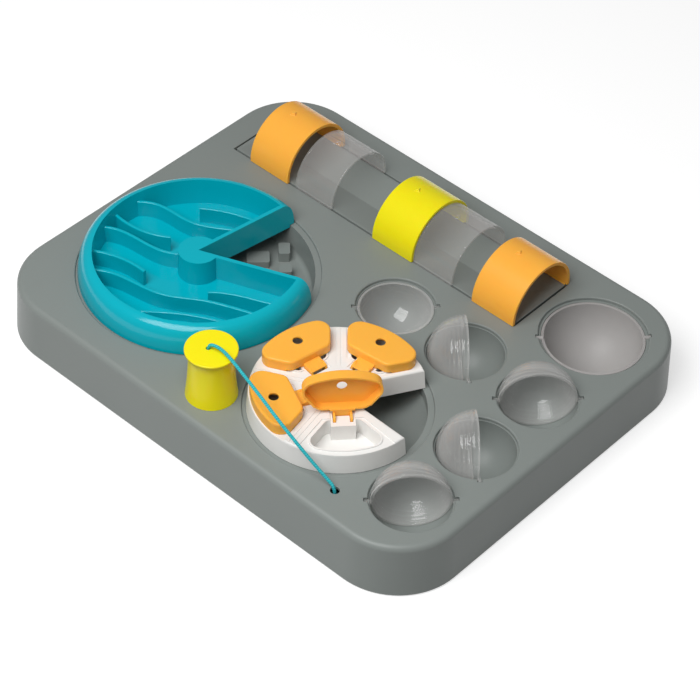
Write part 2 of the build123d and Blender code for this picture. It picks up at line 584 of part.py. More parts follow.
with BuildPart() as lid_wheel:
    with BuildSketch(Plane.XY.offset(WHEEL_FOOT_Z)):
        wheel_sector(WHEEL_FOOT_R, 0)
    wheel_h = WHEEL_TOP_Z - WHEEL_FOOT_Z
    extrude(amount=wheel_h, taper=degrees(asin((WHEEL_FOOT_R - wheel_top_r) / wheel_h)))
    fillet(lid_wheel.faces().sort_by(Axis.Z)[-1].edges(), radius=WHEEL_EDGE_R)
    with BuildSketch(Plane.XY.offset(WHEEL_FOOT_Z)):
        wheel_sector(wheel_top_r, WHEEL_T)
    extrude(amount=wheel_h - LID_SEAT - WHEEL_T, mode=Mode.SUBTRACT)
    # hub and spigot
    with BuildSketch(Plane.XY.offset(WHEEL_FOOT_Z)):
        with Locations(wheel_at):
            Circle(WHEEL_HUB_R - WHEEL_T / 2)
    extrude(amount=wheel_h - LID_SEAT)
    with BuildSketch(Plane.XY.offset(well_z - END_PLAY)):
        with Locations(wheel_at):
            Circle(SPIGOT_R)
    extrude(amount=WHEEL_FOOT_Z - well_z + END_PLAY)
    with BuildSketch(Plane.XY.offset(well_z - END_PLAY)):
        with Locations(wheel_at):
            Circle(SCREW_R + 0.02)
    extrude(amount=SCREW_LENGTH, mode=Mode.SUBTRACT)
    seat_r = WHEEL_FOOT_R + 2
    slot_half_w = HINGE_CHEEK_Y[1] + HINGE_SIDE_GAP
    tongue_half_w = HINGE_CHEEK_Y[0] - HINGE_SIDE_GAP
    pin_block = (HINGE_X - HINGE_PIN_R - 0.15, HINGE_X + HINGE_PIN_R + 1.6)
    hinge_slot_x = (HINGE_X - HINGE_SLOT_REACH, HINGE_X + HINGE_CHEEK_R + 0.4)
    for angle in CELL_ANGLES:
        # tray of the cell, hanging from the top plate
        with BuildSketch(cell_frame(angle, CELL_FLOOR_Z - WHEEL_T)):
            cell_outline(CELL_STRIP - WHEEL_T, cell_r + WHEEL_T, CELL_INNER_X - WHEEL_T)
        extrude(amount=lid_seat_z - CELL_FLOOR_Z + WHEEL_T)
        # seat that the lid lies on
        with BuildSketch(cell_frame(angle, lid_seat_z)):
            cell_outline(LID_STRIP - 0.4, seat_r, CELL_INNER_X - CELL_BEAD_W - 0.6)
            with Locations(((hinge_slot_x[0] + CELL_INNER_X) / 2, 0)):
                Rectangle(CELL_INNER_X - hinge_slot_x[0] + 1, 2 * HINGE_BLOCK_Y)
        extrude(amount=LID_SEAT * 3, mode=Mode.SUBTRACT)
        with BuildSketch(cell_frame(angle, lid_seat_z)) as bead:
            cell_outline(CELL_STRIP - CELL_BEAD_W, cell_r + CELL_BEAD_W, CELL_INNER_X - CELL_BEAD_W)
            round_cell(bead, CELL_INNER_CORNER_R + CELL_BEAD_W, CELL_OUTER_CORNER_R + CELL_BEAD_W)
        extrude(amount=CELL_BEAD_H)
        with BuildSketch(cell_frame(angle, CELL_FLOOR_Z)) as pit:
            cell_outline(CELL_STRIP, cell_r, CELL_INNER_X)
            round_cell(pit, CELL_INNER_CORNER_R, CELL_OUTER_CORNER_R)
            with Locations(((CELL_INNER_X + HINGE_BLOCK_X) / 2 - 2, 0)):
                Rectangle(HINGE_BLOCK_X - CELL_INNER_X + 4, 2 * HINGE_BLOCK_Y, mode=Mode.SUBTRACT)
        extrude(amount=lid_seat_z - CELL_FLOOR_Z + 1, mode=Mode.SUBTRACT)
        # ears and block that hold the hinge pin, with slots for the lid's cheeks
        with BuildSketch(cell_frame(angle, HINGE_Z - HINGE_CHEEK_R - 1)):
            with Locations(((hinge_slot_x[0] + hinge_slot_x[1]) / 2, 0)):
                Rectangle(hinge_slot_x[1] - hinge_slot_x[0] + 1, 2 * HINGE_BLOCK_Y)
        extrude(amount=lid_seat_z - HINGE_Z + HINGE_CHEEK_R + 1)
        with BuildSketch(cell_frame(angle, HINGE_Z - HINGE_CHEEK_R - 2)):
            with Locations(((hinge_slot_x[0] + hinge_slot_x[1]) / 2, 0)):
                Rectangle(hinge_slot_x[1] - hinge_slot_x[0], 2 * slot_half_w)
            with Locations(((pin_block[0] + hinge_slot_x[1] + 1) / 2, 0)):
                Rectangle(hinge_slot_x[1] + 1 - pin_block[0], 2 * tongue_half_w, mode=Mode.SUBTRACT)
        extrude(amount=HINGE_CHEEK_R + 6, mode=Mode.SUBTRACT)
        with BuildSketch(cell_frame(angle, lid_seat_z)):
            with Locations(((hinge_slot_x[0] + HINGE_BLOCK_X) / 2, 0)):
                Rectangle(HINGE_BLOCK_X - hinge_slot_x[0] - 0.02, 2 * HINGE_BLOCK_Y)
        extrude(amount=LID_SEAT * 3, mode=Mode.SUBTRACT)
        pin_line = cell_frame(angle).from_local_coords(Vector(HINGE_X, -HINGE_BLOCK_Y + 0.5, HINGE_Z))
        with BuildSketch(Plane(origin=pin_line, z_dir=polar((0, 0), 1, angle + 90))):
            Circle(HINGE_PIN_R + 0.02)
        extrude(amount=2 * HINGE_BLOCK_Y - 1, mode=Mode.SUBTRACT)
    # fine grooves along the strips between the cells
    for angle in (CELL_ANGLES[0] + CELL_HALF_ANGLE, CELL_ANGLES[1] + CELL_HALF_ANGLE, CELL_ANGLES[2] + CELL_HALF_ANGLE):
        with BuildSketch(cell_frame(angle, WHEEL_TOP_Z)):
            with Locations((41.0, 1.6), (41.0, -1.6)):
                Rectangle(38.0, STRIP_GROOVE_W)
        extrude(amount=-STRIP_GROOVE_DEPTH, mode=Mode.SUBTRACT)
finish(lid_wheel.part, "lid_wheel")

with BuildPart() as lid_pins:
    for angle in CELL_ANGLES:
        pin_start = cell_frame(angle).from_local_coords(Vector(HINGE_X, -HINGE_BLOCK_Y + 0.5, HINGE_Z))
        with BuildSketch(Plane(origin=pin_start, z_dir=polar((0, 0), 1, angle + 90))):
            Circle(HINGE_PIN_R)
        extrude(amount=2 * HINGE_BLOCK_Y - 1)
finish(lid_pins.part, "lid_pins")

finish(spindle_washer(wheel_at, well_z - END_PLAY), "wheel_washer")
finish(spindle_screw(wheel_at, well_z - END_PLAY), "wheel_screw")


def make_lid(angle, opening):
    """Hollow lid with its tab and two cheeks on the hinge pin, turned open about it."""
    hinge_at = cell_frame(angle).from_local_coords(Vector(HINGE_X, 0, HINGE_Z))
    swing = Axis(hinge_at, polar((0, 0), 1, angle - 90))
    radial = Plane(origin=(*wheel_at, 0), x_dir=polar((0, 0), 1, angle), z_dir=polar((0, 0), 1, angle - 90))
    with BuildPart() as lid:
        with BuildSketch(cell_frame(angle, lid_foot_z)) as plan:
            cell_outline(LID_STRIP, lid_r, LID_INNER_X)
            round_cell(plan, LID_INNER_CORNER_R, LID_OUTER_CORNER_R)
        extrude(amount=LID_TOP_Z - lid_foot_z)
        fillet(lid.faces().sort_by(Axis.Z)[-1].edges(), radius=LID_EDGE_R)
        with BuildSketch(cell_frame(angle, lid_foot_z)) as hollow:
            cell_outline(LID_STRIP + LID_T, lid_r - LID_T, LID_INNER_X + LID_T)
            round_cell(hollow, LID_INNER_CORNER_R - LID_T, LID_OUTER_CORNER_R - LID_T)
        extrude(amount=LID_TOP_Z - LID_T - lid_foot_z, mode=Mode.SUBTRACT)
        with BuildSketch(cell_frame(angle, LID_TOP_Z - LID_T)):
            with Locations(((LID_INNER_X + lid_r) / 2 + LID_HOLE_OFF, 0)):
                Circle(LID_HOLE_R)
        extrude(amount=LID_T, mode=Mode.SUBTRACT)
        # foot of the inner wall lifted over the bead
        with BuildSketch(cell_frame(angle, lid_foot_z)):
            with Locations((LID_INNER_X + LID_T, 0)):
                Rectangle(2 * LID_T + 2.4, 38.0)
                Rectangle(2 * LID_T + 2.4, 2 * HINGE_BLOCK_Y, mode=Mode.SUBTRACT)
        extrude(amount=LID_NOTCH_H, mode=Mode.SUBTRACT)
        # tab from the lid's inner wall to the hinge
        with BuildSketch(radial.offset(-HINGE_CHEEK_Y[1])):
            with BuildLine():
                Polyline((HINGE_X - 1.3, HINGE_Z + 1.9), (HINGE_X - 3.8, HINGE_Z + 2.3), (HINGE_X - 3.8, HINGE_Z + 3.1),
                         (HINGE_X - 3.2, HINGE_Z + 3.5), (LID_INNER_X, HINGE_Z + 4.4),
                         (LID_INNER_X + LID_T, HINGE_Z + 4.4), (LID_INNER_X + LID_T, HINGE_Z + 1.9), close=True)
            make_face()
        extrude(amount=2 * HINGE_CHEEK_Y[1])
        for side in (-1, 1):
            with BuildSketch(radial.offset(side * HINGE_CHEEK_Y[1])):
                with Locations((HINGE_X, HINGE_Z)):
                    Circle(HINGE_CHEEK_R)
                with Locations(((HINGE_X + LID_INNER_X + LID_T) / 2, HINGE_Z + 2.6)):
                    Rectangle(LID_INNER_X + LID_T - HINGE_X, 1.8)
            extrude(amount=-side * (HINGE_CHEEK_Y[1] - HINGE_CHEEK_Y[0]))
        with BuildSketch(radial.offset(-HINGE_CHEEK_Y[1])):
            with Locations((HINGE_X, HINGE_Z)):
                Circle(HINGE_PIN_R + HINGE_PIN_FIT)
        extrude(amount=2 * HINGE_CHEEK_Y[1], mode=Mode.SUBTRACT)
    return lid.part.rotate(swing, opening)


for number, (angle, opening) in enumerate(zip(CELL_ANGLES, LID_OPEN), start=1):
    finish(make_lid(angle, opening), "lid_" + str(number))


# ---------------------------------------------------------------- tipping cups

def make_pocket(at, shell_r, hole_r, pins):
    """Round well under one cup, with a flange under the deck and bearings for the pins."""
    inner_r = shell_r + POCKET_GAP
    outer_r = inner_r + POCKET_T
    flange_r = hole_r + POCKET_FLANGE
    centre = (*at, cup_axis_z)
    with BuildPart() as pocket:
        with BuildSketch(Plane(origin=centre, x_dir=(1, 0, 0), z_dir=(0, -1, 0))):
            drop = deck_under - cup_axis_z
            with BuildLine():
                inside = CenterArc((0, 0), inner_r, -90, 90 - degrees(asin(-drop / inner_r)) if drop < 0 else 90)
                outside = CenterArc((0, 0), outer_r, -90, 90 - degrees(asin((BED_T - drop) / outer_r)))
                Polyline(inside @ 1, (flange_r, drop), (flange_r, drop - BED_T), outside @ 1)
                Line(inside @ 0, outside @ 0)
            make_face()
        revolve(axis=Axis(centre, (0, 0, 1)))
        bearing_r = CUP_PIN_R + CUP_PIN_FIT
        reach = shell_r + CUP_PIN_REACH + 0.4
        with BuildSketch(Plane.XY.offset(deck_under - BED_T)):
            with Locations(at):
                Rectangle(2 * reach + 2.4, POCKET_PAD_W, rotation=pins)
                Circle(hole_r, mode=Mode.SUBTRACT)
        extrude(amount=BED_T)
        with BuildSketch(Plane(origin=Vector(centre) - pin_direction(pins) * reach, z_dir=pin_direction(pins))):
            Circle(bearing_r)
        extrude(amount=2 * reach, mode=Mode.SUBTRACT)
    return pocket.part


def make_cup(at, shell_r, pins, tilt):
    """Hemispherical cup on two round pins, standing at its tilt."""
    centre = Vector(*at, cup_axis_z)
    pin_dir = pin_direction(pins)
    mouth = mouth_direction(pins, tilt)
    with BuildPart() as cup:
        with BuildSketch(Plane(origin=centre, x_dir=pin_dir, z_dir=pin_dir.cross(mouth))):
            with BuildLine():
                outside = CenterArc((0, 0), shell_r, -90, 90)
                inside = CenterArc((0, 0), shell_r - CUP_T, -90, 90)
                Line(outside @ 1, inside @ 1)
                Line(outside @ 0, inside @ 0)
            make_face()
        revolve(axis=Axis(centre, mouth))
        # bead round the rim
        with BuildSketch(Plane(origin=centre - mouth * CUP_BEAD_W, z_dir=mouth)):
            Circle(shell_r + CUP_BEAD_H)
            Circle(shell_r - CUP_T / 2, mode=Mode.SUBTRACT)
        extrude(amount=CUP_BEAD_W)
        for side in (-1, 1):
            with BuildSketch(Plane(origin=centre + pin_dir * side * (shell_r - CUP_T / 2), z_dir=pin_dir * side)):
                Circle(CUP_PIN_R)
            extrude(amount=CUP_PIN_REACH + CUP_T / 2)
    return cup.part


for name, at, shell_r, hole_r, pins, tilt in CUPS:
    finish(make_pocket(at, shell_r, hole_r, pins), "pocket_" + name)
    finish(make_cup(at, shell_r, pins, tilt), "cup_" + name)


# ---------------------------------------------------------------- sliding arches

bed_half = slot_half - SLOT_GAP
bed_x = (slot_x[0] + SLOT_GAP, slot_x[1] - SLOT_GAP)
bed_mid = ((bed_x[0] + bed_x[1]) / 2, slot_mid_y)
bed_length = bed_x[1] - bed_x[0]

with BuildPart() as slider_bed:
    with BuildSketch(Plane.XY.offset(DECK_Z - BED_T)):
        with Locations(bed_mid):
            Rectangle(bed_length, 2 * bed_half)
    extrude(amount=BED_T)
    for grow, top, keep in ((BED_T, DECK_Z - BED_T, Mode.ADD), (0.0, DECK_Z, Mode.SUBTRACT)):
        with BuildSketch(Plane.XY.offset(top)):
            with Locations(bed_mid):
                Rectangle(bed_length - 6 + 2 * grow, 2 * bed_half - 6 + 2 * grow)
        with BuildSketch(Plane.XY.offset(DECK_Z - TROUGH_DEPTH - grow)):
            with Locations(bed_mid):
                Rectangle(bed_length - 46, 1.0 + 2 * grow)
        loft(mode=keep)
    with BuildSketch(Plane.XY.offset(base_top)):
        with Locations(bed_mid):
            Rectangle(bed_length - 8, 2 * bed_half - 10)
            Rectangle(bed_length - 8 - 2 * BED_T, 2 * bed_half - 10 - 2 * BED_T, mode=Mode.SUBTRACT)
    extrude(amount=DECK_Z - BED_T - base_top)
finish(slider_bed.part, "slider_bed")


def make_arch(left, clear):
    """Half-round arch on two tongues that run in the gaps beside the bed."""
    length = CLEAR_ARCH_LENGTH if clear else ARCH_LENGTH
    outer_r = CLEAR_ARCH_R if clear else ARCH_R
    inner_r = outer_r - (CLEAR_ARCH_T if clear else ARCH_T)
    centre_z = CLEAR_ARCH_CENTRE_Z if clear else ARCH_CENTRE_Z
    foot = DECK_Z + ARCH_GAP - centre_z
    section = Plane(origin=(left, slot_mid_y, centre_z), x_dir=(0, 1, 0), z_dir=(1, 0, 0))
    tongue_mid = slot_half - SLOT_GAP / 2
    hook_top = deck_under - ARCH_GAP - centre_z
    with BuildPart() as arch:
        with BuildSketch(section):
            with BuildLine():
                outside = CenterArc((0, 0), outer_r, 0, 180)
                inside = CenterArc((0, 0), inner_r, 0, 180)
                for radius in (outer_r, -outer_r):
                    Line((radius, 0), (radius, foot))
                for radius in (inner_r, -inner_r):
                    Line((radius, 0), (radius, foot))
                for side in (-1, 1):
                    Line((side * outer_r, foot), (side * inner_r, foot))
            make_face()
        extrude(amount=length)
        with BuildSketch(section.offset(TONGUE_INSET)):
            for side in (-1, 1):
                with Locations((side * tongue_mid, (foot + hook_top - HOOK_T) / 2)):
                    Rectangle(TONGUE_T, foot - hook_top + HOOK_T)
                with Locations((side * (tongue_mid + HOOK_REACH / 2), hook_top - HOOK_T / 2)):
                    Rectangle(TONGUE_T + HOOK_REACH, HOOK_T)
        extrude(amount=length - 2 * TONGUE_INSET)
        # small three-sided catch near the crown
        catch_x = left + 0.38 * length
        with BuildSketch(Plane.XY.offset(centre_z + outer_r - 0.8)):
            with BuildLine():
                Polyline((catch_x - 2.6, slot_mid_y - 3.2), (catch_x + 2.6, slot_mid_y - 1.2),
                         (catch_x - 0.4, slot_mid_y + 4.0), close=True)
            make_face()
        extrude(amount=2.3, taper=25)
    return arch.part


free_run = slot_x[1] - slot_x[0] - sum(CLEAR_ARCH_LENGTH if clear else ARCH_LENGTH for name, share, clear in ARCHES)
lengths_before = 0.0
for name, share, clear in ARCHES:
    finish(make_arch(slot_x[0] + lengths_before + share * free_run, clear), name)
    lengths_before += CLEAR_ARCH_LENGTH if clear else ARCH_LENGTH


# ---------------------------------------------------------------- tethered cup and cord

cord_foot_z = deck_under - 2.5
cord_head_z = TETHER_CUP_Z - TETHER_FLANGE_T - 0.8

with BuildPart() as tether_cup:
    foot_z = DECK_Z + 0.2
    flange_z = TETHER_CUP_Z - TETHER_FLANGE_T
    cx = tether_cup_at[0]
    with BuildSketch(Plane.XZ.offset(-tether_cup_at[1])):
        with BuildLine():
            skin = Bezier((cx + TETHER_BASE_R, foot_z), (cx + TETHER_NECK_R + 0.9, foot_z + 12),
                          (cx + TETHER_NECK_R, foot_z + 24), (cx + TETHER_NECK_R, flange_z - 2.0))
            Polyline(skin @ 1, (cx + TETHER_FLANGE_R, flange_z), (cx + TETHER_FLANGE_R, TETHER_CUP_Z),
                     (cx, TETHER_CUP_Z), (cx, flange_z), (cx + TETHER_NECK_R - TETHER_T, flange_z),
                     (cx + TETHER_NECK_R - TETHER_T, foot_z + 24))
            Bezier((cx + TETHER_NECK_R - TETHER_T, foot_z + 24), (cx + TETHER_NECK_R - TETHER_T, foot_z + 12),
                   (cx + TETHER_BASE_R - TETHER_T - 0.6, foot_z + 6), (cx + TETHER_BASE_R - TETHER_T, foot_z))
            Line((cx + TETHER_BASE_R - TETHER_T, foot_z), skin @ 0)
        make_face()
    revolve(axis=Axis((*tether_cup_at, 0), (0, 0, 1)))
    fillet(tether_cup.edges().filter_by(GeomType.CIRCLE).group_by(Axis.Z)[-1], radius=0.8)
    with BuildSketch(Plane.XY.offset(flange_z)):
        with Locations(cord_hole_at):
            Circle(CORD_HOLE_R)
    extrude(amount=TETHER_FLANGE_T, mode=Mode.SUBTRACT)
finish(tether_cup.part, "tether_cup")


def make_knot(at, top_z):
    """Round stopper knot, cut flat where the cord enters it."""
    with BuildPart() as knot:
        with Locations((*at, top_z - KNOT_R * 0.85)):
            Sphere(KNOT_R)
        split(bisect_by=Plane.XY.offset(top_z), keep=Keep.BOTTOM)
    return knot.part


finish(make_knot(cord_hole_at, cord_head_z), "cup_knot")
finish(make_knot(cord_eye_at, cord_foot_z), "tray_knot")

# Route of the cord, by hand: up out of the cup, clear of the wheel and its lids, down
# into the eye in the deck.
from_wheel = [(-65.0, 30.1, 91.8), (-56.3, 29.9, 90.8), (-41.5, 27.0, 88.6), (-17.0, 21.2, 85.4), (5.5, 16.8, 79.8),
              (23.0, 17.1, 69.6), (36.5, 19.8, 57.6), (46.0, 21.5, 50.6)]
CORD_ROUTE = [
    (*cord_hole_at, cord_head_z),
    (*cord_hole_at, TETHER_CUP_Z + 3.9),
    *[(wheel_at[0] + x, y - half_w, z) for x, y, z in from_wheel],
    (*cord_eye_at, DECK_Z + 1.8),
    (*cord_eye_at, cord_foot_z),
]


def fillet_radii(route):
    """Largest arcs that the runs allow: 0.45 of the shorter run over tan(half the turn)."""
    points = [Vector(p) for p in route]
    radii = []
    for before, corner, after in zip(points, points[1:], points[2:]):
        first, second = corner - before, after - corner
        turn = radians(first.get_angle(second))
        radii.append(0.45 * min(first.length, second.length) / tan(turn / 2))
    return radii


radii = fillet_radii(CORD_ROUTE)
with BuildPart() as cord:
    with BuildLine() as cord_line:
        FilletPolyline(*CORD_ROUTE, radius=radii)
    with BuildSketch(Plane(origin=CORD_ROUTE[0], z_dir=(0, 0, 1))):
        Circle(CORD_R)
    sweep(path=cord_line.line)
finish(cord.part, "cord")
cord_length = sum(edge.length for edge in cord_line.edges())
print("cord radii", [round(r, 1) for r in radii], "length", round(cord_length, 1),
      "volume ratio", round(cord.part.volume / (cord_length * pi * CORD_R ** 2), 4))
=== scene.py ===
import math

import bmesh
import bpy
import numpy as np
from mathutils import Matrix, Vector


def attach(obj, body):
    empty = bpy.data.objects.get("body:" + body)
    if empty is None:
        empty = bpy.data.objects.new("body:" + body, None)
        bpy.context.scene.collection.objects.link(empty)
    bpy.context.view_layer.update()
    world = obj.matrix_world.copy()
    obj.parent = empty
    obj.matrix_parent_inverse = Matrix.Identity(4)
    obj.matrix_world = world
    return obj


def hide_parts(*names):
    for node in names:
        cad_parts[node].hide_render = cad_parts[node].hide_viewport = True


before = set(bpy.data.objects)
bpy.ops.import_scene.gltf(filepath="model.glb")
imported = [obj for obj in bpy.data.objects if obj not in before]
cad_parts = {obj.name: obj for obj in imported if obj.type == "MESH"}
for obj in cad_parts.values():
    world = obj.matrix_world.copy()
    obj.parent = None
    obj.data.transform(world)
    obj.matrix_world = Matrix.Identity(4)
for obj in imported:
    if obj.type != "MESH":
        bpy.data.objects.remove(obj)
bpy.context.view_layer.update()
scene = bpy.context.scene
scene.view_settings.view_transform = "Standard"


# ---------------------------------------------------------------- tray
# The tray is one moulding in satin grey ABS: a thin deck on a drafted skirt, with a rounded
# top edge and crisp rims round its openings. Zinc-plated screws hold a plate under it, and it
# stands on rubber feet.

CLOUD_SCALE, CLOUD_DETAIL = 14, 3
GLOSS_SPREAD = 0.15
GRAIN_DETAIL, GRAIN_HEIGHT = 2, 0.0002
SINK_SHARE, SINK_TINT = 0.3, (1.0, 0.45, 0.15)
MERGE_GAP, FLAT_ANGLE = 2e-6, math.radians(0.6)
CREASE = math.radians(32)
FACE_WEIGHT = 80


def paint(red, green, blue):
    """A colour given as 0 to 255 in sRGB, as the linear values that a shader takes."""
    share = np.array([red, green, blue]) / 255
    return (*np.where(share <= 0.04045, share / 12.92, ((share + 0.055) / 1.055) ** 2.4), 1.0)


def moulded_plastic(name, colour, shade, roughness, grain=0.0, grain_size=1500, specular=0.5, depth=0.0):
    """Opaque moulded plastic: soft clouding between two shades, uneven gloss, a fine moulded grain and,
    with a depth in metres, light that sinks in a little and comes out warmer."""
    material = bpy.data.materials.new(name)
    material.use_nodes = True
    tree = material.node_tree
    shader = tree.nodes["Principled BSDF"]
    shader.inputs["Specular IOR Level"].default_value = specular
    if depth:
        shader.inputs["Subsurface Weight"].default_value = SINK_SHARE
        shader.inputs["Subsurface Scale"].default_value = depth
        shader.inputs["Subsurface Radius"].default_value = SINK_TINT
    place = tree.nodes.new("ShaderNodeTexCoord").outputs["Object"]
    clouds = tree.nodes.new("ShaderNodeTexNoise")
    clouds.inputs["Scale"].default_value = CLOUD_SCALE
    clouds.inputs["Detail"].default_value = CLOUD_DETAIL
    tree.links.new(place, clouds.inputs["Vector"])
    tint = tree.nodes.new("ShaderNodeMix")
    tint.data_type = "RGBA"
    tint.inputs["A"].default_value = colour
    tint.inputs["B"].default_value = shade
    tree.links.new(clouds.outputs["Fac"], tint.inputs["Factor"])
    tree.links.new(tint.outputs["Result"], shader.inputs["Base Color"])
    gloss = tree.nodes.new("ShaderNodeMapRange")
    gloss.inputs["To Min"].default_value = roughness * (1 - GLOSS_SPREAD)
    gloss.inputs["To Max"].default_value = roughness * (1 + GLOSS_SPREAD)
    tree.links.new(clouds.outputs["Fac"], gloss.inputs["Value"])
    tree.links.new(gloss.outputs["Result"], shader.inputs["Roughness"])
    if grain:
        pebble = tree.nodes.new("ShaderNodeTexNoise")
        pebble.inputs["Scale"].default_value = grain_size
        pebble.inputs["Detail"].default_value = GRAIN_DETAIL
        tree.links.new(place, pebble.inputs["Vector"])
        bump = tree.nodes.new("ShaderNodeBump")
        bump.inputs["Strength"].default_value = grain
        bump.inputs["Distance"].default_value = GRAIN_HEIGHT
        tree.links.new(pebble.outputs["Fac"], bump.inputs["Height"])
        tree.links.new(bump.outputs["Normal"], shader.inputs["Normal"])
    return material


def refined(node, bevel):
    """A merged copy of a CAD node with smooth faces up to the crease angle, small rounds on its edges and
    flat faces that stay flat."""
    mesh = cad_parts[node].data.copy()
    mesh.name = node + "_moulding"
    shape = bmesh.new()
    shape.from_mesh(mesh)
    bmesh.ops.remove_doubles(shape, verts=shape.verts, dist=MERGE_GAP)
    bmesh.ops.dissolve_limit(shape, angle_limit=FLAT_ANGLE, verts=shape.verts, edges=shape.edges)
    shape.to_mesh(mesh)
    shape.free()
    mesh.materials.clear()
    mesh.shade_smooth()
    mesh.set_sharp_from_angle(angle=CREASE)
    piece = bpy.data.objects.new(node + "_moulding", mesh)
    scene.collection.objects.link(piece)
    if bevel:
        rounds = piece.modifiers.new("rounds", "BEVEL")
        rounds.width = bevel
        rounds.segments = 2
        rounds.limit_method = "ANGLE"
        rounds.angle_limit = CREASE
        rounds.use_clamp_overlap = True
        rounds.harden_normals = True
    flats = piece.modifiers.new("flats", "WEIGHTED_NORMAL")
    flats.keep_sharp = True
    flats.weight = FACE_WEIGHT
    return piece


def dress(node, body, material, bevel=0.0):
    """Show a refined copy of a CAD node in a material, riding on the node's body."""
    piece = refined(node, bevel)
    piece.data.materials.append(material)
    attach(piece, body)
    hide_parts(node)
    return piece


tray_grey = moulded_plastic("tray_grey_abs", paint(131, 137, 134), paint(127, 133, 130),
                            roughness=0.40, grain=0.10, specular=0.35)
under_grey = moulded_plastic("underside_grey_abs", paint(110, 113, 111), paint(104, 107, 105),
                             roughness=0.55, grain=0.12)
foot_rubber = moulded_plastic("foot_rubber", paint(34, 34, 35), paint(28, 28, 29),
                              roughness=0.7, grain=0.3, grain_size=2500)
screw_zinc = moulded_plastic("screw_zinc", paint(168, 168, 166), paint(150, 150, 150), roughness=0.3)
screw_zinc.node_tree.nodes["Principled BSDF"].inputs["Metallic"].default_value = 1.0
dress("tray_shell", "tray", tray_grey, bevel=0.0003)
dress("base_plate", "tray", under_grey, bevel=0.0003)
dress("rubber_feet", "tray", foot_rubber)
dress("base_screws", "tray", screw_zinc)


# ---------------------------------------------------------------- pans, pockets and bed
# The recesses under the bowl, the wheel, the cups and the arches. On the real tray they are
# moulded in one with the deck, in the same satin grey ABS, and hang down from it.

for node in ("bowl_pan", "wheel_well", "slider_bed", *("pocket_" + letter for letter in "abcdef")):
    dress(node, "tray", tray_grey, bevel=0.0002)


# ---------------------------------------------------------------- maze bowl
# A revolving bowl moulded in glossy teal ABS, with a hollow rim, a hub and wavy ribs on its
# floor. A steel screw and washer hold it on the spindle in its pan.

teal = moulded_plastic("teal_gloss", paint(0, 172, 189), paint(0, 167, 184), roughness=0.14, specular=0.34)
dress("maze_bowl", "bowl", teal, bevel=0.0006)
for node in ("bowl_screw", "bowl_washer"):
    dress(node, "bowl", screw_zinc)


# ---------------------------------------------------------------- wheel and lids
# A revolving wheel moulded in glossy warm white ABS, held on its spindle as the bowl is. Each
# of its four cells has a hollow lid in glossy orange, which swings about a steel pin.

warm_white = moulded_plastic("warm_white_gloss", paint(235, 234, 231), paint(232, 231, 228),
                             roughness=0.25, specular=0.45)
orange = moulded_plastic("orange_gloss", paint(255, 181, 72), paint(255, 176, 66),
                         roughness=0.25, specular=0.25, depth=0.004)
dress("lid_wheel", "wheel", warm_white, bevel=0.0004)
for node in ("wheel_screw", "wheel_washer", "lid_pins"):
    dress(node, "wheel", screw_zinc)
for number in range(1, 5):
    dress(f"lid_{number}", f"lid_{number}_body", orange, bevel=0.0004)


# ---------------------------------------------------------------- tipping cups
# Smoky clear hemispheres moulded in acrylic, with fine steps running round the wall under
# a beaded rim. Each snaps into the deck by two round pins and tips over about them.

CUP_AXIS = 0.0426
CUP_WALL = 0.0018
BEAD_DEPTH, BEAD_OUT, BEAD_ROUND = 0.0014, 0.00025, 0.0003
BEAD_MIDDLE = 0.6
STEP_PITCH, STEP_HEIGHT = 0.0032, 0.00018
STEPS_END, STEPS_FADE = 0.0165, 0.004
POLE_FROM = 0.0175
WALL_RINGS, POLE_RINGS, BEAD_RINGS = 52, 16, 5
CUP_SIDES, PIN_SIDES = 120, 24
PIN_RADIUS, PIN_REACH, PIN_ROOT, PIN_CHAMFER = 0.0015, 0.0042, 0.0009, 0.0002
# Each cup's letter, place on the tray and radius, then its pins' angle and its tilt in degrees.
CUPS = [("a", (0.0284, 0.0252), 0.0273, 45, 0), ("b", (0.0943, 0.0252), 0.0273, -45, -90),
        ("c", (0.1602, 0.0252), 0.0273, 45, 95), ("d", (0.1602, -0.0407), 0.0273, -45, -90),
        ("e", (0.1602, -0.1066), 0.0273, 45, 95), ("f", (0.1488, 0.1009), 0.0369, 45, 0)]
# The large cup is frosted and has no steps.
FROSTED = "f"
CLEAR_IOR, EDGE_BLEND = 1.8, 0.3


def clear_plastic(name, tint, roughness, facing_cover, edge_cover, specular=1.0):
    """Clear moulded plastic: see-through where it faces the eye, and milky towards its edges."""
    material = bpy.data.materials.new(name)
    material.use_nodes = True
    tree = material.node_tree
    shader = tree.nodes["Principled BSDF"]
    shader.inputs["Base Color"].default_value = tint
    shader.inputs["Roughness"].default_value = roughness
    shader.inputs["IOR"].default_value = CLEAR_IOR
    shader.inputs["Specular IOR Level"].default_value = specular
    facing = tree.nodes.new("ShaderNodeLayerWeight")
    facing.inputs["Blend"].default_value = EDGE_BLEND
    cover = tree.nodes.new("ShaderNodeMapRange")
    cover.inputs["To Min"].default_value = facing_cover
    cover.inputs["To Max"].default_value = edge_cover
    tree.links.new(facing.outputs["Facing"], cover.inputs["Value"])
    tree.links.new(cover.outputs["Result"], shader.inputs["Alpha"])
    return material


def ring_faces(rings, sides):
    """Four-sided faces between rings of points, closed round each ring: face (ring, step) joins points step
    and step + 1 of its ring to the same two of the next ring."""
    ring, step = np.meshgrid(np.arange(rings - 1), np.arange(sides), indexing="ij")
    after = (step + 1) % sides
    return np.stack([ring * sides + step, ring * sides + after,
                     (ring + 1) * sides + after, (ring + 1) * sides + step], -1).reshape(-1, 4)


